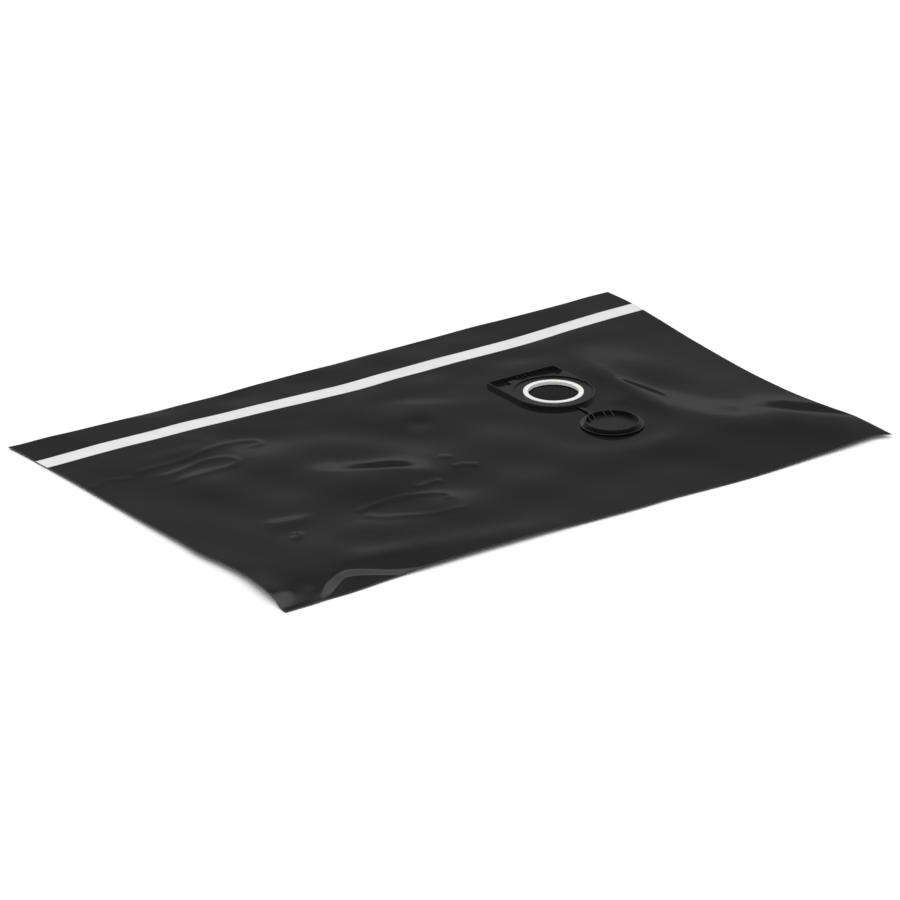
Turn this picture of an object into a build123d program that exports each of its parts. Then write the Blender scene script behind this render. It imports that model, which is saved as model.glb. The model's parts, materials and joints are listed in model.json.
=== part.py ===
from build123d import *
import os

# Disposal bag for a dust extractor: a flat film bag with a rigid port flange, a tethered cap and a closing strip.
#
# Millimetres, +Z up. The origin is the centre of the bag's outline on the plane that the bag rests on.
# +X runs along the open mouth, +Y points to the mouth and the film lies in horizontal planes.

# Bag outline and film
BAG_WIDTH = 770.0
BAG_LENGTH = 504.0
FILM = 0.15
PANEL_TOP = 2.60          # top face of the upper panel on its flat middle
EDGE_TOP = 0.32           # top face of the upper panel where it meets an edge weld
EDGE_SLOPE = 40.0         # width over which the upper panel comes down to a welded edge
WELD_WIDTH = 0.80
WELD_HEIGHT = 0.50
SEAM_GAP = 0.05           # clearance between pieces that lie end to end

# Closing strip and the mouth flap that folds over it
MOUTH_MARGIN = 45.0       # film beyond the strip
STRIP_WIDTH = 22.0
ADHESIVE = 0.10
LINER = 0.12

# Port and its rigid flange
PORT_X = 163.5
PORT_Y = 45.0
FLANGE_ROUND_R = 44.5
FLANGE_BACK = 60.5        # port centre to the straight edge
FLANGE_CORNER_R = 1.5
FLANGE_TOP = 6.80
EDGE_ROUND = 0.35         # rounding of the edges that are touched
WALL = 1.30
RECESS_R = 43.20
RECESS_FLOOR = 5.20
WEB = 1.20                # thickness of the moulded webs
HOLE_R = 30.0
BOSS_R = 35.5             # outside of the ring that clamps the film
COLLAR_R = 45.5           # wall between the recess and the pocket
POCKET_FRONT = 40.0       # port centre to the pocket's near side
POCKET_SHOULDER = ((24.0, 40.0), (33.0, 34.5), (44.5, 42.0))  # its near side right of the collar
POCKET_RIBS = (-7.0, -2.0, 3.0)
POCKET_RIB_DROP = 1.2     # how far the ribs stay below the flange's top
GUSSET_POINTS = ((-25.0, 39.0), (-25.0, 49.0), (-15.5, 49.0), (-10.0, 44.0))

# Heat-staked pins that hold the clamp ring inside the bag
PIN_COUNT = 8
PIN_CIRCLE_R = 33.0
PIN_R = 1.2
PIN_CLEARANCE = 0.05
PIN_HEAD_R = 1.9
PIN_HEAD = 0.50
CLAMP_THICKNESS = 1.60
CLAMP_OUTER_R = 37.5

# Elastomer seal
SEAL_OUTER_R = 32.5
SEAL_INNER_R = 27.3
SEAL_TOP = 7.00
SEAL_FLAT_R = 29.0        # the seal's top face falls away outside this
SEAL_SHOULDER = 0.65
SEAL_LIP = 1.0
SEAL_LIP_BOTTOM = 3.00
SEAL_ROUND = 0.35

# Cap and its tether
CAP_R = 34.0
CAP_DISC = 1.10
BRIM_FLAT_R = 29.5        # the brim is dished outside this
BRIM_RISE = 0.90
CAP_GAP = 0.05            # cap to seal when it is shut
CAP_REST_GAP = 0.10       # cap to film when it lies open
SKIRT_R = 28.9
SKIRT_WALL = 1.3
SKIRT_HEIGHT = 4.30
BEAD_R = 29.2
BEAD_HEIGHT = 0.8
FIN_OFFSETS = (-14.8, -6.9, 6.9, 14.8)
FIN_REACH = 7.0
FIN_DROP = 0.3
FIN_THICKNESS = 0.9
HINGE_TO_PORT = 52.2
CAP_TILT = 0.3            # degrees that the open cap stands off flat
STRAP = 1.0
STRAP_WIDTH = 5.0
STRAP_CAP_WIDTH = 10.0    # the tether widens where it meets the cap
STRAP_BEND = 8.2          # length of the sloping part on the cap's side of the hinge
STRAP_LEVEL = 2.8         # length of the level part beyond it, before the tether meets the brim
STRAP_DROP = 0.25         # how far the tether falls towards the flange

# Worked out from the above
HALF_X = BAG_WIDTH / 2
HALF_Y = BAG_LENGTH / 2
FILM_X = HALF_X - WELD_WIDTH - SEAM_GAP
FILM_BOTTOM_Y = -HALF_Y + WELD_WIDTH + SEAM_GAP
STRIP_OUTER_Y = HALF_Y - MOUTH_MARGIN
STRIP_INNER_Y = STRIP_OUTER_Y - STRIP_WIDTH
FOLD_Y = STRIP_OUTER_Y + 1.0
CAP_OPEN_BOTTOM = PANEL_TOP + CAP_REST_GAP
CAP_OPEN_TOP = CAP_OPEN_BOTTOM + CAP_DISC
HINGE_Y = PORT_Y - HINGE_TO_PORT
HINGE_Z = (CAP_OPEN_TOP + SEAL_TOP + CAP_GAP) / 2
CAP_Y = HINGE_Y - HINGE_TO_PORT
PORT = Location((PORT_X, PORT_Y, 0))


def slab(x_low, x_high, y_low, y_high, z_low, z_high):
    """A box given by its lowest and highest corners."""
    sizes = (x_high - x_low, y_high - y_low, z_high - z_low)
    return Pos(x_low, y_low, z_low) * Box(*sizes, align=(Align.MIN, Align.MIN, Align.MIN))


def ring(inner_r, outer_r, z_low, z_high):
    """A plain ring about the Z axis."""
    outer = Cylinder(outer_r, z_high - z_low, align=(Align.CENTER, Align.CENTER, Align.MIN))
    inner = Cylinder(inner_r, z_high - z_low, align=(Align.CENTER, Align.CENTER, Align.MIN))
    return Pos(0, 0, z_low) * (outer - inner)


def disc(radius, z_low, z_high):
    """A plain cylinder about the Z axis."""
    return Pos(0, 0, z_low) * Cylinder(radius, z_high - z_low, align=(Align.CENTER, Align.CENTER, Align.MIN))


def roof_solid(drop, y_low, y_high, closed_bottom):
    """Everything under the upper panel's top face lowered by drop: flat in the middle, sloping to the welded edges."""
    low = EDGE_TOP - drop
    high = PANEL_TOP - drop
    across = [(-FILM_X, -1), (-FILM_X, low), (-FILM_X + EDGE_SLOPE, high)]
    across += [(FILM_X - EDGE_SLOPE, high), (FILM_X, low), (FILM_X, -1)]
    solid = extrude(Plane.XZ.offset(-y_high) * make_face(Polyline(*across, close=True)), y_high - y_low)
    if closed_bottom:
        along = [(y_low, -1), (y_low, low), (y_low + EDGE_SLOPE, high), (y_high, high), (y_high, -1)]
        solid &= extrude(Plane.YZ.offset(-FILM_X) * make_face(Polyline(*along, close=True)), 2 * FILM_X)
    return solid


def film_sheet(top_offset, thickness, y_low, y_high, closed_bottom=False):
    """A sheet that follows the upper panel, with its top face top_offset above the panel's."""
    outer = roof_solid(-top_offset, y_low, y_high, closed_bottom)
    return outer - roof_solid(thickness - top_offset, y_low, y_high, closed_bottom)


def pin_spots():
    """Where the heat-staked pins stand, about the port centre."""
    return PolarLocations(PIN_CIRCLE_R, PIN_COUNT, start_angle=180 / PIN_COUNT)


def pin_holes(z_low, z_high):
    """Clearance holes for the pins, about the port centre."""
    hole_r = PIN_R + PIN_CLEARANCE
    return [spot * disc(hole_r, z_low, z_high) for spot in pin_spots()]


def upper_panel():
    sheet = film_sheet(0, FILM, FILM_BOTTOM_Y, FOLD_Y - SEAM_GAP, closed_bottom=True)
    cuts = [disc(HOLE_R + PIN_CLEARANCE, 0, FLANGE_TOP)] + pin_holes(0, FLANGE_TOP)
    for cut in cuts:
        sheet -= PORT * cut
    return sheet


def lower_panel():
    return slab(-FILM_X, FILM_X, FILM_BOTTOM_Y, FOLD_Y - SEAM_GAP, 0, FILM)


def upper_mouth_flap():
    return film_sheet(0, FILM, FOLD_Y + SEAM_GAP, HALF_Y)


def lower_mouth_flap():
    return slab(-FILM_X, FILM_X, FOLD_Y + SEAM_GAP, HALF_Y, 0, FILM)


def side_weld(side, y_low, y_high):
    """The molten bead that closes one side edge; side is -1 for the left and 1 for the right."""
    edges = sorted((side * HALF_X, side * (HALF_X - WELD_WIDTH)))
    return slab(edges[0], edges[1], y_low, y_high, 0, WELD_HEIGHT)


def bottom_weld():
    return slab(-HALF_X, HALF_X, -HALF_Y, -HALF_Y + WELD_WIDTH, 0, WELD_HEIGHT)


def mouth_flap_welds():
    return Compound([side_weld(side, FOLD_Y + SEAM_GAP, HALF_Y) for side in (-1, 1)])


def adhesive_strip():
    return film_sheet(ADHESIVE, ADHESIVE, STRIP_INNER_Y, STRIP_OUTER_Y)


def release_liner():
    return film_sheet(ADHESIVE + LINER, LINER, STRIP_INNER_Y, STRIP_OUTER_Y)


def flange_outline(inset):
    """The flange's D outline about the port centre: a round end towards -Y and a straight edge towards +Y."""
    radius = FLANGE_ROUND_R - inset
    back = FLANGE_BACK - inset
    square = Pos(0, back / 2) * Rectangle(2 * radius, back)
    corners = square.vertices().group_by(Axis.Y)[-1]
    return Circle(radius) + fillet(corners, FLANGE_CORNER_R)


def pocket_ribs():
    """Thin ribs that tie the collar to the straight wall across the pocket."""
    high = FLANGE_TOP - POCKET_RIB_DROP
    half = WEB / 4
    back = FLANGE_BACK - WALL / 2
    return [slab(x - half, x + half, COLLAR_R - WALL, back, PANEL_TOP, high) for x in POCKET_RIBS]


def pocket_area():
    """The pocket's outline: open down to the film, between the collar and the straight wall."""
    side = FLANGE_ROUND_R
    points = [(-side, POCKET_FRONT), *POCKET_SHOULDER, (side, FLANGE_BACK), (-side, FLANGE_BACK)]
    area = make_face(Polyline(*points, close=True)) & flange_outline(WALL)
    area -= Circle(COLLAR_R)
    area -= make_face(Polyline(*GUSSET_POINTS, close=True))
    return area


def flange_plate():
    height = FLANGE_TOP - PANEL_TOP
    body = Pos(0, 0, PANEL_TOP) * extrude(flange_outline(0), height)
    body = fillet(body.edges().group_by(Axis.Z)[-1], EDGE_ROUND)
    inside = extrude(flange_outline(WALL), 2 * height)
    body -= disc(RECESS_R, RECESS_FLOOR, 2 * FLANGE_TOP)
    body -= disc(HOLE_R, 0, FLANGE_TOP)
    span = FLANGE_ROUND_R
    body -= extrude(pocket_area(), 2 * FLANGE_TOP)
    body -= ring(BOSS_R, RECESS_R - WALL, PANEL_TOP, RECESS_FLOOR - WEB)
    corner_box = slab(-span, span, 0, POCKET_FRONT - WALL, 0, FLANGE_TOP - WEB)
    body -= (corner_box & inside) - disc(RECESS_R + WALL, 0, FLANGE_TOP)
    for rib in pocket_ribs():
        body += rib
    head_z = PANEL_TOP - FILM - CLAMP_THICKNESS
    for spot in pin_spots():
        body += spot * disc(PIN_R, head_z, PANEL_TOP)
        body += spot * disc(PIN_HEAD_R, head_z - PIN_HEAD, head_z)
    return PORT * body


def clamp_ring():
    top = PANEL_TOP - FILM
    body = ring(HOLE_R + PIN_CLEARANCE, CLAMP_OUTER_R, top - CLAMP_THICKNESS, top)
    for hole in pin_holes(0, top):
        body -= hole
    return PORT * body


def nearest_corner(face, x, y):
    """The vertex of a flat face that lies nearest to a point."""
    return min(face.vertices(), key=lambda v: (v.X - x) ** 2 + (v.Y - y) ** 2)


def seal_ring():
    inner = SEAL_INNER_R
    lip = inner + SEAL_LIP
    points = [(inner, SEAL_LIP_BOTTOM), (lip, SEAL_LIP_BOTTOM), (lip, RECESS_FLOOR)]
    points += [(SEAL_OUTER_R, RECESS_FLOOR), (SEAL_OUTER_R, SEAL_TOP - SEAL_SHOULDER)]
    points += [(SEAL_FLAT_R, SEAL_TOP), (inner, SEAL_TOP)]
    profile = make_face(Polyline(*points, close=True))
    corners = [nearest_corner(profile, inner, SEAL_TOP)]
    corners.append(nearest_corner(profile, SEAL_OUTER_R, SEAL_TOP - SEAL_SHOULDER))
    profile = fillet(corners, SEAL_ROUND)
    return PORT * revolve(Plane.XZ * profile, Axis.Z)


def turn_about_hinge(solid):
    """Lifts a piece of the open cap by the small angle at which it stands off flat."""
    axis = Axis((PORT_X, HINGE_Y, HINGE_Z), (1, 0, 0))
    return solid.rotate(axis, -CAP_TILT)


def cap_fin(x):
    """A triangular fin inside the skirt on the hinge side, parallel to Y at x from the cap's centre."""
    wall_r = SKIRT_R - SKIRT_WALL
    outer = ((SKIRT_R - SKIRT_WALL / 2) ** 2 - x ** 2) ** 0.5
    wall = (wall_r ** 2 - x ** 2) ** 0.5
    inner = wall - FIN_REACH
    top = CAP_OPEN_TOP + SKIRT_HEIGHT - FIN_DROP
    points = [(inner, CAP_OPEN_TOP), (outer, CAP_OPEN_TOP), (outer, top), (wall, top)]
    face = Plane.YZ.offset(x - FIN_THICKNESS / 2) * make_face(Polyline(*points, close=True))
    return extrude(face, FIN_THICKNESS)


def cap_profile():
    """Half of the cap's section: disc, dished brim and the skirt with its snap bead."""
    low = CAP_OPEN_BOTTOM
    floor = CAP_OPEN_TOP
    tip = CAP_OPEN_TOP + SKIRT_HEIGHT
    inner = SKIRT_R - SKIRT_WALL
    points = [(0, low), (BRIM_FLAT_R, low), (CAP_R, low + BRIM_RISE), (CAP_R, floor + BRIM_RISE)]
    points += [(BRIM_FLAT_R, floor), (SKIRT_R, floor), (SKIRT_R, tip - 3 * BEAD_HEIGHT)]
    points += [(BEAD_R, tip - 2 * BEAD_HEIGHT), (SKIRT_R, tip - BEAD_HEIGHT), (SKIRT_R, tip)]
    points += [(inner, tip), (inner, floor), (0, floor)]
    face = make_face(Polyline(*points, close=True))
    for x, y in ((CAP_R, low + BRIM_RISE), (CAP_R, floor + BRIM_RISE), (SKIRT_R, tip), (inner, tip)):
        face = fillet(nearest_corner(face, x, y), EDGE_ROUND)
    return face


def cap():
    """The cap lying open, with its inner side up."""
    body = revolve(Plane.XZ * cap_profile(), Axis.Z)
    for x in FIN_OFFSETS:
        body += cap_fin(x)
    return turn_about_hinge(Pos(PORT_X, CAP_Y, 0) * body)


def strap_profile(points):
    """A tether piece from its top line in the YZ plane, one strap thickness deep."""
    below = [(y, z - STRAP) for y, z in reversed(points)]
    face = Plane.YZ.offset(PORT_X - STRAP_CAP_WIDTH) * make_face(Polyline(*points, *below, close=True))
    return extrude(face, 2 * STRAP_CAP_WIDTH)


def strap_plan(y_low, y_high, low_width, high_width):
    """A tether piece's outline from above, as a tall prism."""
    points = [(PORT_X - low_width / 2, y_low), (PORT_X + low_width / 2, y_low)]
    points += [(PORT_X + high_width / 2, y_high), (PORT_X - high_width / 2, y_high)]
    return extrude(make_face(Polyline(*points, close=True)), 2 * FLANGE_TOP)


def strap_base():
    """The part of the tether on the flange's side of the living hinge."""
    flange_y = PORT_Y - FLANGE_ROUND_R + SEAM_GAP
    top = HINGE_Z - SEAM_GAP / 2
    line = [(HINGE_Y + SEAM_GAP, top), (flange_y, top - STRAP_DROP)]
    plan = strap_plan(HINGE_Y, flange_y, STRAP_WIDTH, STRAP_WIDTH)
    return (strap_profile(line) & plan) - PORT * disc(FLANGE_ROUND_R, 0, 2 * FLANGE_TOP)


def strap_end():
    """The part of the tether on the cap's side of the living hinge."""
    cap_y = CAP_Y + CAP_R - 1.0
    bend_y = HINGE_Y - STRAP_BEND
    top = HINGE_Z - SEAM_GAP / 2
    line = [(cap_y, CAP_OPEN_TOP + BRIM_RISE), (bend_y - STRAP_LEVEL, CAP_OPEN_TOP)]
    line += [(bend_y, CAP_OPEN_TOP), (HINGE_Y - SEAM_GAP, top)]
    plan = strap_plan(cap_y, HINGE_Y, STRAP_CAP_WIDTH, STRAP_WIDTH)
    brim = Pos(PORT_X, CAP_Y, 0) * disc(CAP_R, 0, 2 * FLANGE_TOP)
    return turn_about_hinge((strap_profile(line) & plan) - brim)


NODES = {
    "upper_panel": upper_panel(),
    "lower_panel": lower_panel(),
    "upper_mouth_flap": upper_mouth_flap(),
    "lower_mouth_flap": lower_mouth_flap(),
    "left_edge_weld": side_weld(-1, FILM_BOTTOM_Y, FOLD_Y - SEAM_GAP),
    "right_edge_weld": side_weld(1, FILM_BOTTOM_Y, FOLD_Y - SEAM_GAP),
    "bottom_edge_weld": bottom_weld(),
    "mouth_flap_welds": mouth_flap_welds(),
    "adhesive_strip": adhesive_strip(),
    "release_liner": release_liner(),
    "flange_plate": flange_plate(),
    "clamp_ring": clamp_ring(),
    "seal_ring": seal_ring(),
    "cap": cap(),
    "strap_base": strap_base(),
    "strap_end": strap_end(),
}

os.makedirs("parts", exist_ok=True)
for name, solid in NODES.items():
    export_step(solid, f"parts/{name}.step")
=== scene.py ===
import json
import math

import bpy
import numpy as np
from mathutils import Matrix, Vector


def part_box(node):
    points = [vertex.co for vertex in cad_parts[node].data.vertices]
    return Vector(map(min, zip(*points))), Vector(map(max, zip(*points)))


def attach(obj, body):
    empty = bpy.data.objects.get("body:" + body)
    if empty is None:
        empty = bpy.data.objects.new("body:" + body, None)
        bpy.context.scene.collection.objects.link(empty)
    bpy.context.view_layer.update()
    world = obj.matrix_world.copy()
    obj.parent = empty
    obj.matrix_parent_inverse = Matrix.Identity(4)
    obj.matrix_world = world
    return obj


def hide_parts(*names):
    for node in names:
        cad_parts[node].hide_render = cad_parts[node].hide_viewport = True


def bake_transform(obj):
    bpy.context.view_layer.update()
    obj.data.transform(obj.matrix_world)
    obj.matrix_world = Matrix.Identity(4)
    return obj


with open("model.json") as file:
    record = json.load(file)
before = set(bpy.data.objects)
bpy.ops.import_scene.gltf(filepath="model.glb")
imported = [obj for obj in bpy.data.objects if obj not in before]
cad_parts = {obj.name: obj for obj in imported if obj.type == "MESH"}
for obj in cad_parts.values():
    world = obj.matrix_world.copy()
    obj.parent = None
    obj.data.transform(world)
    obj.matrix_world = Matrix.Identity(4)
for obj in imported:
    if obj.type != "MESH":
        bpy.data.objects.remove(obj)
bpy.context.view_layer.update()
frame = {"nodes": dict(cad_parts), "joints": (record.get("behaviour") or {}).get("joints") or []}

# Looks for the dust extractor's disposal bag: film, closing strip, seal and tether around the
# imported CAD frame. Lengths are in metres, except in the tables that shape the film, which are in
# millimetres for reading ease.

MM = 0.001

# ---- places taken from the frame -----------------------------------------------------------------
HALF_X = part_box("right_edge_weld")[1].x
HALF_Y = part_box("upper_mouth_flap")[1].y
STRIP_LOW, STRIP_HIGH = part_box("release_liner")
PANEL_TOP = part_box("upper_panel")[1].z
SEAL_LOW, SEAL_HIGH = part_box("seal_ring")
PORT = (SEAL_LOW + SEAL_HIGH) / 2
FLANGE_LOW, FLANGE_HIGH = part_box("flange_plate")
CAP_LOW, CAP_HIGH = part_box("cap")
CAP_CENTRE = (CAP_LOW + CAP_HIGH) / 2
FLANGE_R = (FLANGE_HIGH.x - FLANGE_LOW.x) / 2
FOLD = next(j for j in frame["joints"] if j["name"] == "mouth_flap_fold")
FOLD_Y = FOLD["pos_m"][1]
FLIP = next(j for j in frame["joints"] if j["name"] == "cap_flip")
HINGE = Vector(FLIP["pos_m"])

# ---- looks ---------------------------------------------------------------------------------------
CAMERA_AZIMUTH = math.radians(-35.46)
CAMERA_ELEVATION = math.radians(22.667)
CAMERA_DISTANCE = 6.272
CAMERA_LENS = 240.0
CAMERA_AIM = Vector((-0.01235, -0.01149, 0.0))

GRID = 2 * MM
FILM = 0.15 * MM
FLAT_MARGIN = 5 * MM
FLAT_FADE = 44 * MM
WELD_FADE = 130 * MM
AIR_GAP = PANEL_TOP - 2 * FILM
FILM_HOLE_R = 31 * MM
PORT_BULGE = 2.15 * MM
PORT_BULGE_FOOT_R = 30.0 * MM
PORT_BULGE_TOP_R = 25.5 * MM
BEAD_HALF_WIDTH = 0.42 * MM
BEAD_HALF_HEIGHT = 0.27 * MM
BEAD_INSET = 0.4 * MM
BEAD_LOWEST = 0.28 * MM

# How far the closing strip strays from a straight line, in millimetres: position along the mouth
# from the bag's centre, then the shift towards the mouth.
STRIP_BOW = ((-385, 3.2), (-300, 0.9), (-246, -0.7), (-195, -0.1), (-118, -3.2), (-10, -8.2), (62, -6.2),
             (120, -5.6), (200, -6.2), (245, -4.4), (294, -1.4), (345, 1.4), (385, 2.4))

# Welded edges, in millimetres: place along the edge, lift off the floor, pull inwards. The side
# edges start at the closed end and the closed edge starts at the left.
LEFT_EDGE = ((0, 0.2, 0.0), (8, 0.5, 0.4), (14, 1.7, 1.3), (24, 4.6, 3.5), (34, 6.7, 4.0), (46, 7.4, 5.4),
             (60, 7.2, 7.4), (88, 6.4, 10.3), (126, 5.8, 8.5), (160, 5.2, 4.6), (190, 4.7, 5.1),
             (252, 3.9, 4.1), (315, 3.0, 3.7), (378, 2.3, 3.2), (441, 1.2, 1.9), (490, 1.5, -0.4),
             (504, 1.6, -1.9))
RIGHT_EDGE = ((0, 1.2, -0.3), (30, 1.2, -0.2), (63, 1.2, 0.8), (90, 0.8, 3.4), (126, 0.2, 5.2),
              (160, 0.0, 7.4), (190, 0.0, 8.2), (220, 0.2, 8.5), (252, 0.2, 7.0), (315, 0.3, 2.6),
              (345, 0.4, 0.4), (378, 0.6, -2.6), (410, 1.4, -4.9), (441, 2.2, -7.0), (470, 2.4, -8.6),
              (504, 2.6, -7.2))
CLOSED_EDGE = ((0, 0.2, -4.3), (18, 0.3, -4.0), (34, 0.4, -3.9), (48, 0.5, -2.8), (72, 0.8, -2.7),
               (96, 0.9, -1.4), (120, 1.3, 0.8), (144, 1.8, 2.2), (192, 2.4, 2.6), (250, 2.6, 3.3),
               (288, 2.6, 3.0), (330, 2.3, 3.0), (385, 1.8, 1.6), (430, 1.5, 0.3), (481, 1.2, 0.9),
               (530, 0.8, -1.1), (577, 0.6, -2.3), (625, 1.2, -1.0), (674, 2.0, 1.6), (700, 2.1, 2.5),
               (720, 2.2, 3.5), (740, 2.2, 5.0), (757, 2.2, 4.4), (770, 2.2, -1.5))
# The lift a little way in from the left edge, where it starts more gently: place along the edge, lift.
LEFT_SIDE = ((0, 0.3), (20, 1.8), (46, 4.8), (60, 5.6), (84, 6.0), (126, 5.3), (190, 4.4), (252, 3.7),
             (315, 3.0), (378, 2.3), (441, 1.2), (504, 1.6))
# How far the mouth's edge reaches past a straight line, in millimetres: place from the left, reach.
MOUTH_EDGE = ((0, 7.5), (15, 6.1), (30, 5.9), (48, 5.0), (72, 1.8), (96, 0.8), (120, -0.1), (144, -0.9),
              (192, -1.6), (250, -2.0), (288, 0.1), (330, 0.7), (385, 0.1), (430, 0.9), (481, 0.8),
              (530, 2.0), (577, 2.6), (625, 0.3), (674, -0.5), (700, -0.4), (720, 0.5), (740, 1.8),
              (770, 1.4))

# How far the edges' lift and pull reach into the bag, in millimetres.
EDGE_TO_SIDE = 17
LEFT_LIFT_REACH = 95
OTHER_LIFT_REACH = 70
SIDE_PULL_REACH = 170
CLOSED_PULL_REACH = 140

# The soft pillow and bulge beside the raised left corner, in millimetres, and the bay pressed into
# them. The bay's depth is a share of the lift there. Its table holds the distance along the closed
# edge, then where the bay's rim starts and where it ends, both inwards from that edge.
CORNER_PILLOW = 0.3
CORNER_BULGE = 1.0
BAY_DEPTH = 0.88
BAY = ((0, -30, -8), (30, -26, -4), (38, -21, 5), (46, -14, 13), (54, -6, 20), (62, 3, 26), (70, 12, 31),
       (78, 20, 34), (86, 26, 37), (96, 30, 39), (106, 27, 35), (117, 20, 28), (128, 12, 21), (137, 5, 15),
       (145, -2, 12), (156, -9, 8), (172, -16, 4), (184, -22, -3), (200, -30, -8), (800, -30, -8))

# Near the mouth the film stays low enough for the mouth to fold over it.
MOUTH_CEILING = 3.20 * MM
MOUTH_KNEE = 0.28 * MM

ACROSS = Vector((math.cos(CAMERA_AZIMUTH), math.sin(CAMERA_AZIMUTH)))
AWAY = Vector((-math.sin(CAMERA_AZIMUTH), math.cos(CAMERA_AZIMUTH)))


# ---- small maths helpers -------------------------------------------------------------------------
def smooth(low, high, x):
    t = np.clip((x - low) / (high - low), 0, 1)
    return t * t * (3 - 2 * t)


def skewed(x, before, after):
    """A hump of height 1 at 0 with its own width on each side."""
    width = np.where(x < 0, before, after)
    return np.exp(-0.5 * (x / width) ** 2)


def catmull(points, steps=14):
    """A smooth open curve through the points."""
    p = np.array(points, float)
    p = np.vstack([2 * p[0] - p[1], p, 2 * p[-1] - p[-2]])
    out = []
    for i in range(1, len(p) - 2):
        for t in np.arange(steps) / steps:
            a = 2 * p[i]
            b = p[i + 1] - p[i - 1]
            c = 2 * p[i - 1] - 5 * p[i] + 4 * p[i + 1] - p[i + 2]
            d = -p[i - 1] + 3 * p[i] - 3 * p[i + 1] + p[i + 2]
            out.append(0.5 * (a + b * t + c * t * t + d * t ** 3))
    out.append(p[-2])
    return np.array(out)


# ---- relief of the film --------------------------------------------------------------------------
# Wrinkles are laid out in axes turned with the light: across, then away, in millimetres from the
# bag's centre. A ledge holds the points (across, away, height) along its crest, then its gentle
# half width before the crest and its steep half width after it.
LEDGES = (
    # long soft oval left of the middle
    (((-165, -94, 0.0), (-140, -90, 1.5), (-110, -88, 2.5), (-86, -87, 3.8), (-64, -87, 4.9), (-44, -87, 3.6),
      (-22, -90, 1.9), (5, -96, 0.0)), 60, 19),
    # broad band that runs from the flange towards the closed corner, and the short steep step within it
    (((122, 190, 0.0), (144, 175, 1.7), (166, 154, 2.7), (193, 126, 2.9), (215, 103, 2.5), (238, 82, 2.3),
      (258, 68, 2.15), (277, 61, 2.25), (300, 64, 2.8), (320, 72, 2.9), (340, 78, 2.8), (365, 78, 2.4),
      (400, 66, 1.4), (430, 48, 0.0)), 48, 34),
    (((170, 170, 0.0), (180, 162, 0.9), (192, 152, 1.15), (205, 142, 1.1), (217, 132, 0.8),
      (230, 121, 0.0)), 22, 8),
    # streak just inside the closed edge
    (((-126, -336, 0.0), (-90, -323, 3.8), (-46, -301, 5.6), (-6, -285, 5.9), (36, -267, 6.2),
      (70, -250, 6.2), (96, -239, 4.2), (135, -224, 0.0)), 48, 22),
    # soft light patch under the middle of the strip
    (((-80, 96, 0.0), (-40, 96, 1.2), (-5, 95, 1.1), (40, 93, 0.0)), 34, 16),
    # soft patches near the left edge
    (((-200, -226, 0.0), (-178, -222, 1.0), (-158, -212, 1.0), (-138, -202, 0.0)), 14, 8),
    (((-440, -24, 0.0), (-390, -14, 3.4), (-330, -2, 2.6), (-270, 14, 1.8), (-225, 30, 0.0)), 50, 28),
    # light patches on the mouth flap
    (((-430, -4, 0.0), (-390, 3, 1.2), (-355, 8, 0.0)), 20, 12),
)
# A steep patch that falls away to the right-hand edge, laid out in the same way.
EDGE_LEDGE = (((306, 92, 0.0), (325, 86, 0.9), (340, 81, 1.9), (360, 73, 3.5), (385, 66, 3.7), (411, 58, 2.9),
               (440, 48, 1.2), (470, 40, 0.0)), 40, 25)
# Long waves over the whole film and shorter ones near the mouth: seed, how many, longest, shortest,
# height (mm).
LONG_WAVES = (11, 9, 240 * MM, 80 * MM, 1.0)
MOUTH_WAVES = (23, 8, 120 * MM, 45 * MM, 0.65)
# One small dimple: centre (across, away), half widths, depth.
DIMPLE_CENTRE = (-36, 52)
DIMPLE_SIZE = (9, 12)
DIMPLE_DEPTH = 1.4
DEEPEST_HOLLOW = -1.5
# Soft hollows and swells: (across, away), height, (half width across, half width away).
SWELLS = (
    ((222, 158), -1.0, (44, 34)),
    ((-400, 60), 1.8, (60, 60)),
    ((-330, -160), -1.6, (60, 34)),
    ((-120, 20), -1.0, (75, 22)),
    ((60, -60), 0.9, (60, 34)),
    ((330, 20), -0.8, (80, 30)),
    ((150, -60), -0.7, (70, 26)),
    ((-210, -30), 0.8, (50, 30)),
    ((-60, -235), 0.8, (60, 22)),
)
# Creases on raised film sit nearer the front by this share of the film's height, so that they line
# up when seen from the camera's low angle.
CREASE_SHIFT = 2.39
# A crease holds the points (across, away) along it, its height and its half width.
CREASES = (
    (((-384, -124), (-372, -118), (-365, -113), (-362, -104), (-345, -100), (-330, -94)), 0.50, 3.4),
    (((-344, -90), (-314, -72), (-283, -51), (-259, -24), (-238, -7), (-212, 2), (-203, -6),
      (-218, -20)), 0.36, 3.8),
    (((-321, -96), (-297, -90), (-277, -72), (-258, -52), (-237, -43), (-225, -50), (-229, -64), (-251, -80),
      (-276, -98), (-301, -122)), 0.40, 3.8),
    (((-99, -192), (-92, -179), (-74, -163), (-53, -147), (-28, -139), (-9, -138), (-3, -146),
      (-9, -155)), 0.42, 3.8),
    (((-99, -193), (-76, -199), (-56, -197), (-26, -192), (0, -179), (22, -168)), 0.28, 3.8),
    (((-40, -123), (-26, -113), (-12, -101)), 0.45, 4.0),
    (((-2, -68), (12, -61), (28, -63)), 0.40, 4.0),
    (((-16, -41), (0, -40)), 0.30, 3.5),
    (((-166, -259), (-157, -247), (-161, -239)), 0.50, 3.4),
)


def turned(x, y):
    """Position in millimetres across and away."""
    across = (x * ACROSS.x + y * ACROSS.y) / MM
    away = (x * AWAY.x + y * AWAY.y) / MM
    return across, away


def ledge(across, away, crest, before, after):
    line = catmull(crest)
    centre = np.interp(across, line[:, 0], line[:, 1])
    height = np.interp(across, line[:, 0], line[:, 2], left=0, right=0)
    return np.maximum(height, 0) * skewed(away - centre, before, after)


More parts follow.
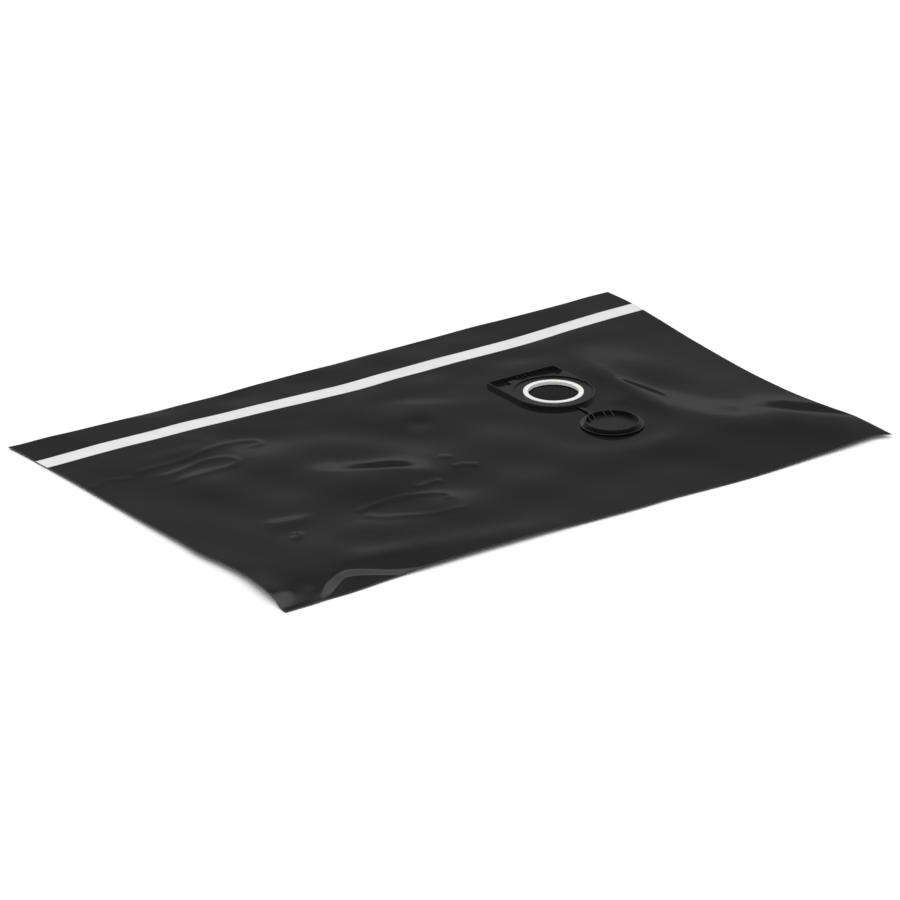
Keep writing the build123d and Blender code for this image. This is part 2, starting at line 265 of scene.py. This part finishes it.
def crease(across, away, points, height, width):
    line = catmull(points, 36)
    reach = 4 * width
    near = (across > line[:, 0].min() - reach) & (across < line[:, 0].max() + reach)
    near &= (away > line[:, 1].min() - reach) & (away < line[:, 1].max() + reach)
    out = np.zeros_like(across)
    spots = np.stack([across[near], away[near]], -1)
    gap = np.linalg.norm(spots[:, None, :] - line[None, :, :], axis=2)
    place = gap.argmin(1) / (len(line) - 1)
    fade = smooth(0, 0.12, place) * smooth(0, 0.12, 1 - place)
    out[near] = height * fade * np.exp(-0.5 * (gap.min(1) / width) ** 2)
    return out


def gentle_noise(x, y, seed, count, longest, shortest, height):
    """A few long waves with set phases; height is in millimetres."""
    rng = np.random.default_rng(seed)
    total = np.zeros_like(x)
    for _ in range(count):
        length = rng.uniform(shortest, longest)
        turn = rng.uniform(0, math.pi)
        phase = rng.uniform(0, 2 * math.pi)
        share = length / longest
        total += share * np.sin(2 * math.pi * (x * math.cos(turn) + y * math.sin(turn)) / length + phase)
    return height * total / math.sqrt(count)


def profile(table, where, column):
    """A smooth curve through one column of a table, with its first column as the position."""
    line = np.array(table, float)
    t = np.clip(where, line[0, 0], line[-1, 0])
    k = np.clip(np.searchsorted(line[:, 0], t) - 1, 0, len(line) - 2)
    share = (t - line[k, 0]) / (line[k + 1, 0] - line[k, 0])
    slope = np.gradient(line[:, column], line[:, 0])
    step = line[k + 1, 0] - line[k, 0]
    a, b = line[k, column], line[k + 1, column]
    square = share * share
    cube = square * share
    out = a * (2 * cube - 3 * square + 1) + b * (3 * square - 2 * cube)
    return out + step * (slope[k] * (cube - 2 * square + share) + slope[k + 1] * (cube - square))


def edge_lift(x, y):
    """How far the film stands off the floor because of its welded edges, in millimetres."""
    from_left = (x + HALF_X) / MM
    from_right = (HALF_X - x) / MM
    from_closed = (y + HALF_Y) / MM
    at_edge = np.exp(-0.5 * (from_left / EDGE_TO_SIDE) ** 2)
    lift = at_edge * profile(LEFT_EDGE, from_closed, 1) + (1 - at_edge) * profile(LEFT_SIDE, from_closed, 1)
    lift *= np.exp(-0.5 * (from_left / LEFT_LIFT_REACH) ** 2)
    lift += profile(RIGHT_EDGE, from_closed, 1) * np.exp(-0.5 * (from_right / OTHER_LIFT_REACH) ** 2)
    lift += profile(CLOSED_EDGE, from_left, 1) * np.exp(-0.5 * (from_closed / OTHER_LIFT_REACH) ** 2)
    lift += CORNER_PILLOW * skewed(from_left - 90, 60, 80) * skewed(from_closed - 45, 60, 120)
    bulge = skewed(from_left - 54, 12, 24) * smooth(-12, 15, from_closed) * skewed(from_closed - 16, 90, 26)
    lift += CORNER_BULGE * bulge
    return lift * (1 - BAY_DEPTH * closed_corner_bay(from_left, from_closed))


def closed_corner_bay(from_left, from_closed):
    """1 inside the shallow bay pressed into the closed edge beside the raised left corner, 0 outside."""
    low = profile(BAY, from_left, 1)
    high = profile(BAY, from_left, 2)
    return smooth(1, 0, (from_closed - low) / (high - low)) * smooth(28, 44, from_left)


def flat_zone(x, y):
    """1 where the film lies flat under the flange, the tether and the cap, fading to 0 outside."""
    flange = np.hypot(x - PORT.x, np.clip(y - PORT.y, None, 0)) - FLANGE_R
    flange = np.where(y > PORT.y, np.maximum(abs(x - PORT.x) - FLANGE_R, y - FLANGE_HIGH.y), flange)
    cap_r = (CAP_HIGH.x - CAP_LOW.x) / 2
    cap = np.hypot(x - CAP_CENTRE.x, y - CAP_CENTRE.y) - cap_r
    tether = np.where((y > CAP_CENTRE.y) & (y < PORT.y), abs(x - PORT.x) - cap_r / 2, 1.0)
    gap = np.minimum(np.minimum(flange, cap), tether)
    return smooth(FLAT_FADE, FLAT_MARGIN, gap)


def welded_fade(x, y):
    """0 on the three welded edges, 1 well inside the bag and at the open mouth."""
    side = smooth(0, WELD_FADE, HALF_X - abs(x))
    return side * smooth(0, WELD_FADE, y + HALF_Y)


def strip_fade(y):
    """Calms the relief near the fold, so that the folded mouth lies over the strip."""
    return 0.25 + 0.75 * smooth(90 * MM, 20 * MM, y - (FOLD_Y - 110 * MM))


def upper_height(x, y):
    """Height of the upper film's top face, in metres."""
    across, away = turned(x, y)
    relief = gentle_noise(x, y, *LONG_WAVES)
    for (a, b), height, (wide, deep) in SWELLS:
        relief = relief + height * np.exp(-0.5 * (((across - a) / wide) ** 2 + ((away - b) / deep) ** 2))
    for crest, before, after in LEDGES:
        relief = relief + ledge(across, away, crest, before, after)
    calm = 1 - flat_zone(x, y)
    relief = relief * calm * strip_fade(y)
    relief = relief + gentle_noise(x, y, *MOUTH_WAVES) * calm * (1 - strip_fade(y))
    hidden = CREASE_SHIFT * (relief + edge_lift(x, y) * calm)
    for points, height, width in CREASES:
        relief = relief + crease(across, away + hidden, points, height, width)
    aside = (across - DIMPLE_CENTRE[0]) / DIMPLE_SIZE[0]
    beyond = (away - DIMPLE_CENTRE[1]) / DIMPLE_SIZE[1]
    relief -= DIMPLE_DEPTH * np.exp(-0.5 * np.hypot(aside, beyond) ** 2)
    inside = welded_fade(x, y)
    body = 2 * FILM + AIR_GAP * inside
    soft = relief * (0.25 + 0.75 * inside) + (edge_lift(x, y) + ledge(across, away, *EDGE_LEDGE)) * calm
    height = body + np.maximum(soft, DEEPEST_HOLLOW) * MM
    eased = MOUTH_CEILING + MOUTH_KNEE * np.tanh((height - MOUTH_CEILING) / MOUTH_KNEE)
    near_mouth = smooth(FOLD_Y - 80 * MM, FOLD_Y - 50 * MM, y)
    height = np.where(height > MOUTH_CEILING, height + near_mouth * (eased - height), height)
    return np.maximum(height, 2 * FILM)


def lower_height(x, y):
    """Height of the lower film's top face: it lies on the floor and rises with the welded edges."""
    top = upper_height(x, y)
    gap = FILM + AIR_GAP * welded_fade(x, y)
    from_port = np.hypot(x - PORT.x, y - PORT.y)
    bulge = PORT_BULGE * smooth(PORT_BULGE_FOOT_R, PORT_BULGE_TOP_R, from_port)
    return np.maximum(top - gap, FILM) + bulge


def edge_pull(x, y):
    """Where the film's edges are drawn inwards by puckers: shifts along X and Y, in metres."""
    from_left = (x + HALF_X) / MM
    from_right = (HALF_X - x) / MM
    from_closed = (y + HALF_Y) / MM
    along = profile(LEFT_EDGE, from_closed, 2) * smooth(SIDE_PULL_REACH, 0, from_left)
    along -= profile(RIGHT_EDGE, from_closed, 2) * smooth(SIDE_PULL_REACH, 0, from_right)
    inward = profile(CLOSED_EDGE, from_left, 2) * smooth(CLOSED_PULL_REACH, 0, from_closed)
    inward += profile(MOUTH_EDGE, from_left, 1) * smooth(FOLD_Y, HALF_Y, y)
    return along * MM, inward * MM


# ---- mesh helpers --------------------------------------------------------------------------------
def new_object(name, verts, faces, material, smooth_shade=True):
    mesh = bpy.data.meshes.new(name)
    mesh.from_pydata(verts if isinstance(verts, list) else verts.tolist(), [], faces)
    mesh.update()
    mesh.polygons.foreach_set("use_smooth", [smooth_shade] * len(mesh.polygons))
    mesh.materials.append(material)
    obj = bpy.data.objects.new(name, mesh)
    bpy.context.scene.collection.objects.link(obj)
    return obj


def apply_modifiers(obj):
    graph = bpy.context.evaluated_depsgraph_get()
    mesh = bpy.data.meshes.new_from_object(obj.evaluated_get(graph))
    obj.modifiers.clear()
    obj.data = mesh


def solidify(obj, thickness, offset=-1.0):
    modifier = obj.modifiers.new("thickness", "SOLIDIFY")
    modifier.thickness = thickness
    modifier.offset = offset
    modifier.use_even_offset = False
    apply_modifiers(obj)


def rows_between(low, high, step):
    return np.linspace(low, high, max(2, int(round((high - low) / step)) + 1))


def sheet(name, xs, ys, height, material, hole_r=None, bow=None):
    """A film sheet over the grid xs by ys at height(x, y), with a clean hole at the port if asked."""
    gx, gy = np.meshgrid(xs, ys)
    gz = height(gx, gy)
    pull_x, pull_y = edge_pull(gx, gy)
    px = gx + pull_x
    py = gy + pull_y
    if bow:
        py += bow(gx)
    index = np.arange(gx.size).reshape(gx.shape)
    quads = np.stack([index[:-1, :-1], index[:-1, 1:], index[1:, 1:], index[1:, :-1]], -1).reshape(-1, 4)
    if hole_r:
        away = np.hypot(px - PORT.x, py - PORT.y).ravel()
        quads = quads[(away[quads] > hole_r).any(1)]
        used = np.unique(quads)
        snap = used[away[used] < hole_r]
        push = hole_r / away[snap]
        px.ravel()[snap] = PORT.x + (px.ravel()[snap] - PORT.x) * push
        py.ravel()[snap] = PORT.y + (py.ravel()[snap] - PORT.y) * push
    used = np.unique(quads)
    renumber = np.full(gx.size, -1)
    renumber[used] = np.arange(len(used))
    verts = np.stack([px.ravel()[used], py.ravel()[used], gz.ravel()[used]], -1)
    return new_object(name, verts, renumber[quads].tolist(), material)


# ---- materials -----------------------------------------------------------------------------------
def material(name):
    mat = bpy.data.materials.new(name)
    mat.use_nodes = True
    tree = mat.node_tree
    tree.nodes.clear()
    output = tree.nodes.new("ShaderNodeOutputMaterial")
    shader = tree.nodes.new("ShaderNodeBsdfPrincipled")
    tree.links.new(shader.outputs["BSDF"], output.inputs["Surface"])
    place = tree.nodes.new("ShaderNodeTexCoord")
    return mat, tree, shader, place


def noise(tree, place, scale, detail=3.0, stretch=(1, 1, 1), rough=0.5):
    mapping = tree.nodes.new("ShaderNodeMapping")
    mapping.inputs["Scale"].default_value = stretch
    tree.links.new(place.outputs["Object"], mapping.inputs["Vector"])
    node = tree.nodes.new("ShaderNodeTexNoise")
    node.inputs["Scale"].default_value = scale
    node.inputs["Detail"].default_value = detail
    node.inputs["Roughness"].default_value = rough
    tree.links.new(mapping.outputs["Vector"], node.inputs["Vector"])
    return node


def span(tree, source, low, high):
    """Maps a 0 to 1 value onto low to high."""
    node = tree.nodes.new("ShaderNodeMapRange")
    node.inputs["From Min"].default_value = 0.3
    node.inputs["From Max"].default_value = 0.7
    node.inputs["To Min"].default_value = low
    node.inputs["To Max"].default_value = high
    tree.links.new(source, node.inputs["Value"])
    return node.outputs["Result"]


def two_tone(tree, source, dark, light):
    node = tree.nodes.new("ShaderNodeMix")
    node.data_type = "RGBA"
    node.inputs["A"].default_value = (*dark, 1)
    node.inputs["B"].default_value = (*light, 1)
    tree.links.new(source, node.inputs["Factor"])
    return node.outputs["Result"]


def bump(tree, shader, layers):
    """Adds bump layers, each (height output, distance in metres, strength)."""
    normal = None
    for height, distance, strength in layers:
        node = tree.nodes.new("ShaderNodeBump")
        node.inputs["Distance"].default_value = distance
        node.inputs["Strength"].default_value = strength
        tree.links.new(height, node.inputs["Height"])
        if normal:
            tree.links.new(normal, node.inputs["Normal"])
        normal = node.outputs["Normal"]
    tree.links.new(normal, shader.inputs["Normal"])


def film_material():
    """Glossy black polyethylene: faint draw lines along the web, cloudy gloss and tiny crinkles."""
    mat, tree, shader, place = material("black_film")
    clouds = noise(tree, place, 14, 4)
    lines = noise(tree, place, 260, 2, (0.05, 1, 1))
    crinkle = noise(tree, place, 90, 3)
    shader.inputs["IOR"].default_value = 1.5
    black = two_tone(tree, clouds.outputs["Fac"], (0.0065,) * 3, (0.0095,) * 3)
    tree.links.new(black, shader.inputs["Base Color"])
    tree.links.new(span(tree, clouds.outputs["Fac"], 0.055, 0.095), shader.inputs["Roughness"])
    bump(tree, shader, [(lines.outputs["Fac"], 0.02 * MM, 0.5), (crinkle.outputs["Fac"], 0.06 * MM, 0.5)])
    return mat


def inner_film_material():
    """The film's matt inner face, embossed so that the two films do not cling."""
    mat, tree, shader, place = material("black_film_inner")
    clouds = noise(tree, place, 30, 3)
    emboss = noise(tree, place, 1400, 2)
    black = two_tone(tree, clouds.outputs["Fac"], (0.0045,) * 3, (0.0065,) * 3)
    tree.links.new(black, shader.inputs["Base Color"])
    tree.links.new(span(tree, clouds.outputs["Fac"], 0.45, 0.55), shader.inputs["Roughness"])
    shader.inputs["Specular IOR Level"].default_value = 0.08
    bump(tree, shader, [(emboss.outputs["Fac"], 0.03 * MM, 0.6)])
    return mat


def moulded_material(name, dark, light, roughness, grain=0.5):
    """Satin moulded plastic with a fine spark-eroded grain and slightly uneven gloss."""
    mat, tree, shader, place = material(name)
    clouds = noise(tree, place, 55, 3)
    fine = noise(tree, place, 2600, 2)
    shader.inputs["IOR"].default_value = 1.49
    tree.links.new(two_tone(tree, clouds.outputs["Fac"], dark, light), shader.inputs["Base Color"])
    gloss = span(tree, clouds.outputs["Fac"], roughness - 0.04, roughness + 0.05)
    tree.links.new(gloss, shader.inputs["Roughness"])
    bump(tree, shader, [(fine.outputs["Fac"], 0.02 * MM, grain)])
    return mat


def seal_material():
    """White elastomer with a soft skin and a trace of mould bloom."""
    mat, tree, shader, place = material("white_elastomer")
    bloom = noise(tree, place, 120, 4)
    skin = noise(tree, place, 1800, 2)
    tree.links.new(two_tone(tree, bloom.outputs["Fac"], (0.74, 0.74, 0.735), (0.80, 0.80, 0.795)),
                   shader.inputs["Base Color"])
    tree.links.new(span(tree, bloom.outputs["Fac"], 0.42, 0.55), shader.inputs["Roughness"])
    shader.inputs["Subsurface Weight"].default_value = 0.08
    shader.inputs["Subsurface Radius"].default_value = (0.001, 0.001, 0.001)
    bump(tree, shader, [(skin.outputs["Fac"], 0.02 * MM, 0.4)])
    return mat


def liner_material():
    """White coated release paper with a faint fibre mottle."""
    mat, tree, shader, place = material("release_paper")
    mottle = noise(tree, place, 60, 5)
    fibre = noise(tree, place, 900, 4, (0.35, 1, 1), 0.65)
    tree.links.new(two_tone(tree, mottle.outputs["Fac"], (0.66, 0.665, 0.665), (0.73, 0.732, 0.73)),
                   shader.inputs["Base Color"])
    tree.links.new(span(tree, mottle.outputs["Fac"], 0.42, 0.58), shader.inputs["Roughness"])
    bump(tree, shader, [(mottle.outputs["Fac"], 0.10 * MM, 0.4), (fibre.outputs["Fac"], 0.02 * MM, 0.5)])
    return mat


def adhesive_material():
    """Clear tacky adhesive over the black film: wet gloss with small voids."""
    mat, tree, shader, place = material("tacky_adhesive")
    voids = noise(tree, place, 420, 3)
    tree.links.new(two_tone(tree, voids.outputs["Fac"], (0.02, 0.018, 0.014), (0.055, 0.05, 0.038)),
                   shader.inputs["Base Color"])
    tree.links.new(span(tree, voids.outputs["Fac"], 0.12, 0.34), shader.inputs["Roughness"])
    bump(tree, shader, [(voids.outputs["Fac"], 0.10 * MM, 0.6)])
    return mat


def floor_material():
    mat, tree, shader, place = material("studio_floor")
    paper = noise(tree, place, 6, 3)
    pale = two_tone(tree, paper.outputs["Fac"], (0.93,) * 3, (0.95,) * 3)
    tree.links.new(pale, shader.inputs["Base Color"])
    shader.inputs["Roughness"].default_value = 0.9
    shader.inputs["Specular IOR Level"].default_value = 0.1
    return mat


# ---- pieces --------------------------------------------------------------------------------------
def film_rows():
    """Row positions from the closed edge to the mouth, close together where the film folds."""
    fold_low = FOLD_Y - 1.5 * MM
    fold_high = FOLD_Y + 4.0 * MM
    rows = [rows_between(-HALF_Y, fold_low, GRID), rows_between(fold_low, fold_high, 0.35 * MM)[1:]]
    rows.append(rows_between(fold_high, HALF_Y, GRID)[1:])
    return np.concatenate(rows)


def bend_at_fold(obj):
    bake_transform(obj)


def build_films(black, inner):
    xs = rows_between(-HALF_X, HALF_X, GRID)
    ys = film_rows()
    upper = sheet("upper_film", xs, ys, upper_height, black, FILM_HOLE_R)
    solidify(upper, FILM)
    bend_at_fold(upper)
    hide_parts("upper_panel", "upper_mouth_flap")
    lower = sheet("lower_film", xs[::2], ys, lower_height, inner)
    solidify(lower, FILM)
    bend_at_fold(lower)
    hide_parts("lower_panel", "lower_mouth_flap")


def bead(name, points, black):
    """A thin hot-knife bead with a slightly uneven section along a line of points."""
    sides = 8
    rng = np.random.default_rng(5)
    p = np.array(points)
    ahead = np.gradient(p, axis=0)
    ahead /= np.linalg.norm(ahead, axis=1)[:, None]
    up = np.array([0, 0, 1.0])
    side = np.cross(ahead, up)
    side /= np.linalg.norm(side, axis=1)[:, None]
    lift = np.cross(side, ahead)
    wobble = 1 + 0.22 * np.convolve(rng.uniform(-1, 1, len(p) + 4), np.ones(5) / 5, "valid")[: len(p)]
    verts, faces = [], []
    for k in range(sides):
        turn = 2 * math.pi * k / sides
        wide = BEAD_HALF_WIDTH * math.cos(turn) * wobble
        tall = BEAD_HALF_HEIGHT * math.sin(turn) * wobble
        verts.append(p + side * wide[:, None] + lift * tall[:, None])
    verts = np.stack(verts, 1).reshape(-1, 3)
    for i in range(len(p) - 1):
        for k in range(sides):
            n = (k + 1) % sides
            faces.append((i * sides + k, i * sides + n, (i + 1) * sides + n, (i + 1) * sides + k))
    faces.append(tuple(reversed(range(sides))))
    faces.append(tuple((len(p) - 1) * sides + k for k in range(sides)))
    obj = new_object(name, verts, faces, black)
    return obj


def weld_line(xs, ys):
    x = np.clip(xs, -HALF_X + BEAD_INSET, HALF_X - BEAD_INSET)
    y = np.clip(ys, -HALF_Y + BEAD_INSET, HALF_Y)
    z = upper_height(xs, ys) - FILM
    pull_x, pull_y = edge_pull(xs, ys)
    return np.stack([x + pull_x, y + pull_y, np.maximum(z, BEAD_LOWEST)], -1)


def build_welds(black):
    rows = film_rows()
    sides = (("left_weld_bead", -HALF_X, "left_edge_weld"), ("right_weld_bead", HALF_X, "right_edge_weld"))
    for name, x, node in sides:
        obj = bead(name, weld_line(np.full_like(rows, x), rows), black)
        bend_at_fold(obj)
        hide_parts(node, "mouth_flap_welds")
    xs = rows_between(-HALF_X, HALF_X, GRID)
    obj = bead("bottom_weld_bead", weld_line(xs, np.full_like(xs, -HALF_Y)), black)
    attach(obj, "bag")
    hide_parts("bottom_edge_weld")


def strip_piece(name, base, thickness, inset, mat):
    """A strip of constant thickness that follows the film at the height base above it."""
    xs = rows_between(-HALF_X + inset, HALF_X - inset, GRID)
    ys = rows_between(STRIP_LOW.y + inset, STRIP_HIGH.y - inset, GRID)
    line = catmull(STRIP_BOW) * MM

    def bow(x):
        return np.interp(x, line[:, 0], line[:, 1])

    def top(x, y):
        return upper_height(x, y + bow(x)) + base + thickness

    obj = sheet(name, xs, ys, top, mat, bow=bow)
    solidify(obj, thickness)
    return obj


def build_strip(glue, paper):
    adhesive = strip_piece("adhesive_layer", 0.02 * MM, 0.10 * MM, 1.0 * MM, glue)
    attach(adhesive, "bag")
    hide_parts("adhesive_strip")
    liner = strip_piece("liner_tape", 0.14 * MM, 0.12 * MM, 0.2 * MM, paper)
    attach(liner, "liner")
    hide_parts("release_liner")


def lathe(name, profile, centre, mat, segments=192):
    """A closed ring from a profile of (radius, height) points in metres."""
    count = len(profile)
    turns = np.arange(segments) * 2 * math.pi / segments
    r = np.array([p[0] for p in profile])
    z = np.array([p[1] for p in profile])
    x = centre.x + np.outer(np.cos(turns), r)
    y = centre.y + np.outer(np.sin(turns), r)
    verts = np.stack([x, y, np.tile(z, (segments, 1))], -1).reshape(-1, 3)
    faces = []
    for i in range(segments):
        j = (i + 1) % segments
        for k in range(count):
            n = (k + 1) % count
            faces.append((i * count + k, j * count + k, j * count + n, i * count + n))
    return new_object(name, verts, faces, mat)


def rounded(points, radius, steps=5):
    """Rounds each corner of a closed outline of (a, b) points."""
    out = []
    p = [Vector(q) for q in points]
    for i, corner in enumerate(p):
        back = (p[i - 1] - corner)
        ahead = (p[(i + 1) % len(p)] - corner)
        cut = min(radius, back.length * 0.45, ahead.length * 0.45)
        a = corner + back.normalized() * cut
        b = corner + ahead.normalized() * cut
        for s in range(steps + 1):
            t = s / steps
            q = a * (1 - t) ** 2 + corner * 2 * t * (1 - t) + b * t * t
            out.append((q.x, q.y))
    return out


def build_seal(white):
    """The seal ring: a face that falls away at its rim, a shallow groove and a lip into the port."""
    face_width = 5.2 * MM
    recess_depth = 1.4 * MM
    outer = SEAL_HIGH.x - PORT.x
    inner = outer - face_width
    top = SEAL_HIGH.z
    floor = FLANGE_HIGH.z - recess_depth
    lip = 1.0 * MM
    flat = inner + 1.7 * MM
    groove = 0.10 * MM
    foot = SEAL_LOW.z - 0.4 * MM
    outline = [(inner, foot), (inner + lip, foot), (inner + lip, floor)]
    outline += [(outer, floor), (outer, top - 0.34 * MM)]
    outline += [(flat + 0.5 * MM, top - groove), (flat + 0.25 * MM, top - 2 * groove)]
    outline += [(flat, top - 0.05 * MM)]
    outline += [(inner, top - 0.50 * MM)]
    obj = lathe("seal_lip", rounded(outline, 0.35 * MM), PORT, white)
    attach(obj, "bag")
    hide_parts("seal_ring")


def build_tether(black):
    """One tether that lies low between the flange's wall and the cap's brim, thinned where it hinges."""
    flange_y = FLANGE_LOW.y + 0.4 * MM
    brim_y = CAP_HIGH.y - 0.6 * MM
    ys = rows_between(brim_y, flange_y, 0.35 * MM)
    t = (flange_y - ys) / (flange_y - brim_y)
    start, crest, brim = PANEL_TOP + 1.35 * MM, PANEL_TOP + 2.45 * MM, PANEL_TOP + 1.95 * MM
    top = start + (crest - start) * smooth(0.0, 0.7, t) + (brim - crest) * smooth(0.72, 1.0, t)
    width = (5.0 + 2.5 * smooth(0.55, 1.0, t)) * MM
    thick = 0.95 * MM - 0.4 * MM * np.exp(-0.5 * ((ys - HINGE.y) / (0.8 * MM)) ** 2)
    section = rounded([(-0.5, -1), (0.5, -1), (0.5, 0), (-0.5, 0)], 0.28, 3)
    verts = []
    for y, z, w, deep in zip(ys, top, width, thick):
        verts += [(PORT.x + a * w, y, z + b * deep) for a, b in section]
    count = len(section)
    faces = []
    for i in range(len(ys) - 1):
        for k in range(count):
            n = (k + 1) % count
            faces.append((i * count + k, i * count + n, (i + 1) * count + n, (i + 1) * count + k))
    faces.append(tuple(reversed(range(count))))
    faces.append(tuple((len(ys) - 1) * count + k for k in range(count)))
    obj = new_object("tether", verts, faces, black)
    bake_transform(obj)
    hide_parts("strap_base", "strap_end")


def paint_frame(plate, cap_black):
    """Gives the carried-over CAD nodes their materials."""
    looks = {"flange_plate": plate, "clamp_ring": plate, "cap": cap_black}
    for node, mat in looks.items():
        mesh = frame["nodes"][node].data
        mesh.materials.clear()
        mesh.materials.append(mat)


# ---- studio --------------------------------------------------------------------------------------
def build_floor():
    size = 30.0
    low = -size / 2
    verts = [(low, low, -FILM), (-low, low, -FILM), (-low, -low, -FILM), (low, -low, -FILM)]
    floor = new_object("studio_floor", verts, [(0, 1, 2, 3)], floor_material(), False)


# Brightness of the room by elevation in degrees, as seen in glossy surfaces: a dark foot, a bright
# strip just above the horizon, a dim wall and a large soft box overhead.
ROOM = ((0, 0.03), (9, 0.05), (11.5, 0.07), (13.5, 0.28), (17.5, 0.27), (19.5, 0.18), (22.7, 0.15),
        (26, 0.13), (30, 0.11), (34, 0.15), (38, 0.40), (42, 0.80), (48, 1.05), (90, 1.10))
# Soft boxes to the left and right: where they start, are full and end, in degrees from straight
# away, then level.
SIDE_BOXES = (7.0, 11.0, 85.0, 0.72)
# The sine of the elevation at which the side boxes start and end, each with the width of its soft border.
SIDE_BOX_FOOT = (0.09, 0.05)
SIDE_BOX_TOP = (0.68, 0.08)
SIDE_BOX_FADE = 5.0
DIFFUSE_ROOM = 1.06


def maths(tree, operation, a, b=None, clamp=False):
    node = tree.nodes.new("ShaderNodeMath")
    node.operation = operation
    node.use_clamp = clamp
    for socket, value in zip(node.inputs, (a, b)):
        if isinstance(value, (int, float)):
            socket.default_value = value
        elif value is not None:
            tree.links.new(value, socket)
    return node.outputs[0]


def add_side_boxes(tree, split, room):
    """Brightens the glossy room to the left and right of the view, by degrees from straight away."""
    near, full, far, level = SIDE_BOXES
    x, y = split.outputs["X"], split.outputs["Y"]
    aside = maths(tree, "ADD", maths(tree, "MULTIPLY", x, ACROSS.x), maths(tree, "MULTIPLY", y, ACROSS.y))
    ahead = maths(tree, "ADD", maths(tree, "MULTIPLY", x, AWAY.x), maths(tree, "MULTIPLY", y, AWAY.y))
    angle = maths(tree, "ARCTAN2", maths(tree, "ABSOLUTE", aside), ahead)
    angle = maths(tree, "MULTIPLY", angle, 180 / math.pi)
    rise = maths(tree, "DIVIDE", maths(tree, "SUBTRACT", angle, near), full - near, True)
    fall = maths(tree, "DIVIDE", maths(tree, "SUBTRACT", far, angle), SIDE_BOX_FADE, True)
    above = maths(tree, "SUBTRACT", split.outputs["Z"], SIDE_BOX_FOOT[0])
    below = maths(tree, "SUBTRACT", SIDE_BOX_TOP[0], split.outputs["Z"])
    low = maths(tree, "DIVIDE", above, SIDE_BOX_FOOT[1], True)
    high = maths(tree, "DIVIDE", below, SIDE_BOX_TOP[1], True)
    share = maths(tree, "MULTIPLY", maths(tree, "MULTIPLY", rise, fall), maths(tree, "MULTIPLY", low, high))
    mix = tree.nodes.new("ShaderNodeMix")
    mix.data_type = "RGBA"
    mix.inputs["B"].default_value = (level, level, level, 1)
    tree.links.new(share, mix.inputs["Factor"])
    tree.links.new(room, mix.inputs["A"])
    return mix.outputs["Result"]


def build_world():
    world = bpy.data.worlds.new("studio")
    bpy.context.scene.world = world
    world.use_nodes = True
    tree = world.node_tree
    tree.nodes.clear()
    output = tree.nodes.new("ShaderNodeOutputWorld")
    background = tree.nodes.new("ShaderNodeBackground")
    place = tree.nodes.new("ShaderNodeTexCoord")
    split = tree.nodes.new("ShaderNodeSeparateXYZ")
    arcsine = tree.nodes.new("ShaderNodeMath")
    arcsine.operation = "ARCSINE"
    scale = tree.nodes.new("ShaderNodeMath")
    scale.operation = "MULTIPLY"
    scale.inputs[1].default_value = 2 / math.pi
    ramp = tree.nodes.new("ShaderNodeValToRGB")
    elements = ramp.color_ramp.elements
    while len(elements) < len(ROOM):
        elements.new(0.5)
    for element, (degrees, bright) in zip(elements, ROOM):
        element.position = degrees / 90
        element.color = (bright, bright, bright, 1)
    glossy = add_side_boxes(tree, split, ramp.outputs["Color"])
    path = tree.nodes.new("ShaderNodeLightPath")
    mix = tree.nodes.new("ShaderNodeMix")
    mix.data_type = "RGBA"
    mix.inputs["A"].default_value = (*(DIFFUSE_ROOM,) * 3, 1)
    tree.links.new(place.outputs["Generated"], split.inputs["Vector"])
    tree.links.new(split.outputs["Z"], arcsine.inputs[0])
    tree.links.new(arcsine.outputs[0], scale.inputs[0])
    tree.links.new(scale.outputs[0], ramp.inputs["Fac"])
    tree.links.new(path.outputs["Is Glossy Ray"], mix.inputs["Factor"])
    tree.links.new(glossy, mix.inputs["B"])
    tree.links.new(mix.outputs["Result"], background.inputs["Color"])
    tree.links.new(background.outputs["Background"], output.inputs["Surface"])


def build_lights():
    """One broad overhead panel for soft shape; the bag's reflections come from the room."""
    data = bpy.data.lights.new("overhead_panel", "AREA")
    data.shape = "RECTANGLE"
    data.size = 3.0
    data.size_y = 2.0
    data.energy = 12.0
    lamp = bpy.data.objects.new("overhead_panel", data)
    lamp.location = (-0.8, 0.6, 2.6)
    lamp.rotation_euler = (Vector((0, 0, 0)) - lamp.location).to_track_quat("-Z", "Y").to_euler()
    lamp.visible_glossy = False
    bpy.context.scene.collection.objects.link(lamp)


def build_camera():
    back = Vector((math.sin(CAMERA_AZIMUTH) * math.cos(CAMERA_ELEVATION),
                   -math.cos(CAMERA_AZIMUTH) * math.cos(CAMERA_ELEVATION),
                   math.sin(CAMERA_ELEVATION)))
    data = bpy.data.cameras.new("camera")
    data.lens = CAMERA_LENS
    data.clip_end = 50.0
    camera = bpy.data.objects.new("camera", data)
    camera.location = CAMERA_AIM + back * CAMERA_DISTANCE
    camera.rotation_mode = "QUATERNION"
    camera.rotation_quaternion = (-back).to_track_quat("-Z", "Y")
    bpy.context.scene.collection.objects.link(camera)
    bpy.context.scene.camera = camera


black_film = film_material()
build_films(black_film, inner_film_material())
build_welds(black_film)
build_strip(adhesive_material(), liner_material())
build_seal(seal_material())
build_tether(moulded_material("tether_plastic", (0.008,) * 3, (0.010,) * 3, 0.24))
paint_frame(moulded_material("flange_plastic", (0.0060, 0.0060, 0.0057), (0.0080, 0.0080, 0.0076), 0.38),
            moulded_material("cap_plastic", (0.005,) * 3, (0.0065,) * 3, 0.28))
build_floor()
build_world()
build_lights()
build_camera()
bpy.context.scene.view_settings.view_transform = "Standard"
